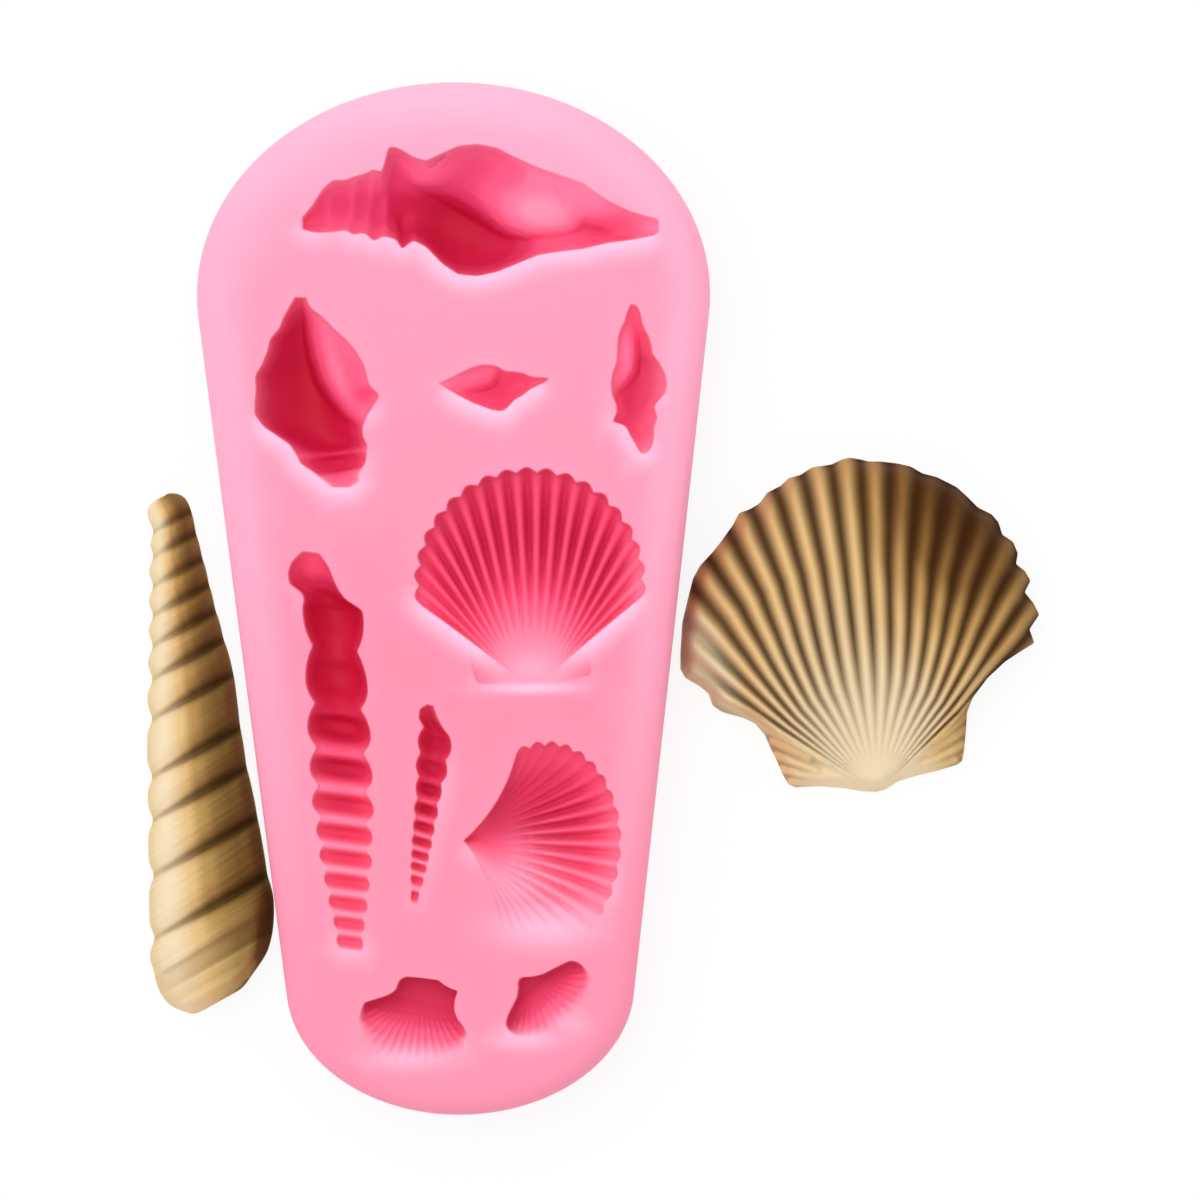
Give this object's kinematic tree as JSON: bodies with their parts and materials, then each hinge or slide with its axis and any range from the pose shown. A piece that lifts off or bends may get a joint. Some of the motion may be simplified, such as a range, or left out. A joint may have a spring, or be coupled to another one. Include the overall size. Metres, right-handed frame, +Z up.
{
  "type": "sand mould",
  "caption": "Tapered soft silicone slab mould with sea-shell cavities in its face, lying beside two loose cast shells.",
  "frame": {"origin": "middle of the slab's flat back, on the surface it lies on", "axes": "+Z up out of the cavities' face, +Y along the slab to its wide end, +X to the right of that"},
  "size_m": [0.1228, 0.14, 0.014],
  "materials": {
    "silicone": "smooth satin silicone, slightly translucent",
    "clay": "matt sand-coloured clay, darker in the grooves"
  },
  "bodies": {
    "mould_body": {"mould": "silicone"},
    "scallop_body": {"scallop_casting": "clay"},
    "auger_body": {"auger_casting": "clay"}
  },
  "joints": [
    {"name": "scallop_lift", "type": "slide", "parent": "mould_body", "child": "scallop_body", "axis": [0, 0, 1], "range_m": [0, 0.03]},
    {"name": "auger_lift", "type": "slide", "parent": "mould_body", "child": "auger_body", "axis": [0, 0, 1], "range_m": [0, 0.03]}
  ]
}
